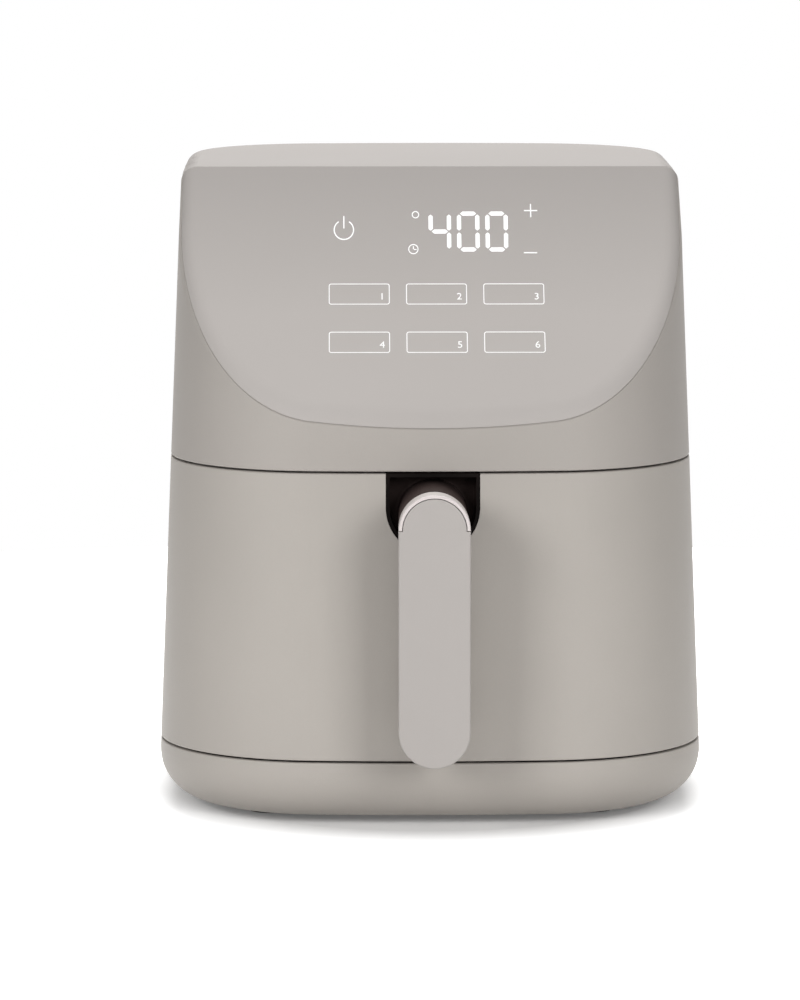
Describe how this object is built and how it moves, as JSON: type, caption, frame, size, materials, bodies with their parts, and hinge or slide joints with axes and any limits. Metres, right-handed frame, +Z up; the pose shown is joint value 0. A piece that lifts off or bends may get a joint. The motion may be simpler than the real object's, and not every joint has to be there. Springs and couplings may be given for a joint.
{
  "type": "air fryer",
  "caption": "Basket air fryer: tapered rounded body with a sloped touch panel, a drawer with an upright handle, a pan with a lift-out tray, and a heater and fan above it.",
  "frame": {"origin": "bottom centre of the whole object's box, on the surface it stands on", "axes": "+X to the object's right as seen from the front, +Y from the handle to the back, +Z up"},
  "size_m": [0.272, 0.3334, 0.319],
  "materials": {
    "body_plastic": "fine matt texture, warm grey",
    "panel_plastic": "satin, warm grey",
    "handle_plastic": "satin, warm grey",
    "trim_plastic": "semi-gloss, pale warm grey",
    "dark_plastic": "matt black",
    "foot_rubber": "matt",
    "tray_silicone": "matt silicone",
    "chamber_steel": "galvanised sheet",
    "screw_steel": "zinc plated",
    "heater_tube": "oxidised stainless tube",
    "bushing_ceramic": "unglazed ceramic",
    "motor_steel": "zinc plated sheet",
    "fan_aluminium": "bare sheet",
    "nonstick": "dark non-stick coating",
    "board_green": "solder mask",
    "component_plastic": "moulded component bodies"
  },
  "bodies": {
    "housing": {"base_pan": "body_plastic", "base_deck": "dark_plastic", "rubber_feet": "foot_rubber", "base_screws": "screw_steel", "outer_shell": "body_plastic", "top_cover": "panel_plastic", "touch_board": "board_green", "display_module": "dark_plastic", "touch_pads": "component_plastic", "front_frame": "dark_plastic", "chamber_floor": "chamber_steel", "chamber_wrap": "chamber_steel", "chamber_roof": "chamber_steel", "drawer_runners": "dark_plastic", "heater_hood": "chamber_steel", "heating_element": "heater_tube", "heater_bushings": "bushing_ceramic", "heater_brackets": "chamber_steel", "heater_guard": "chamber_steel", "motor_bracket": "chamber_steel", "motor_housing": "motor_steel", "motor_stator": "motor_steel", "motor_bearings": "screw_steel", "exhaust_duct": "chamber_steel", "rear_grille": "body_plastic", "cord_gland": "dark_plastic", "power_board": "board_green", "power_components": "component_plastic", "board_standoffs": "screw_steel", "temperature_probe": "screw_steel", "thermal_fuse": "bushing_ceramic", "switch_body": "dark_plastic"},
    "drawer": {"drawer_front": "body_plastic", "drawer_inner_panel": "dark_plastic", "panel_screws": "screw_steel", "handle_bracket": "dark_plastic", "handle_shell": "handle_plastic", "handle_trim": "trim_plastic", "handle_cover": "handle_plastic", "handle_screws": "screw_steel", "pan": "nonstick", "pan_bracket": "chamber_steel"},
    "tray": {"crisper_tray": "nonstick", "tray_bumpers": "tray_silicone"},
    "fan_rotor": {"motor_shaft": "screw_steel", "motor_rotor": "motor_steel", "hot_air_fan": "fan_aluminium", "cooling_fan": "fan_aluminium", "fan_nut": "screw_steel"},
    "plunger": {"switch_plunger": "dark_plastic"}
  },
  "joints": [
    {"name": "drawer_slide", "type": "slide", "parent": "housing", "child": "drawer", "axis": [0, -1, 0], "range_m": [0, 0.2]},
    {"name": "tray_lift", "type": "slide", "parent": "drawer", "child": "tray", "axis": [0, 0, 1], "range_m": [0, 0.09]},
    {"name": "fan_spin", "type": "hinge", "parent": "housing", "child": "fan_rotor", "pos_m": [0, 0.03225, 0.25], "axis": [0, 0, 1], "continuous": true},
    {"name": "switch_press", "type": "slide", "parent": "housing", "child": "plunger", "axis": [0, 1, 0], "range_m": [0, 0.001], "stiffness_N_per_m": 200}
  ]
}
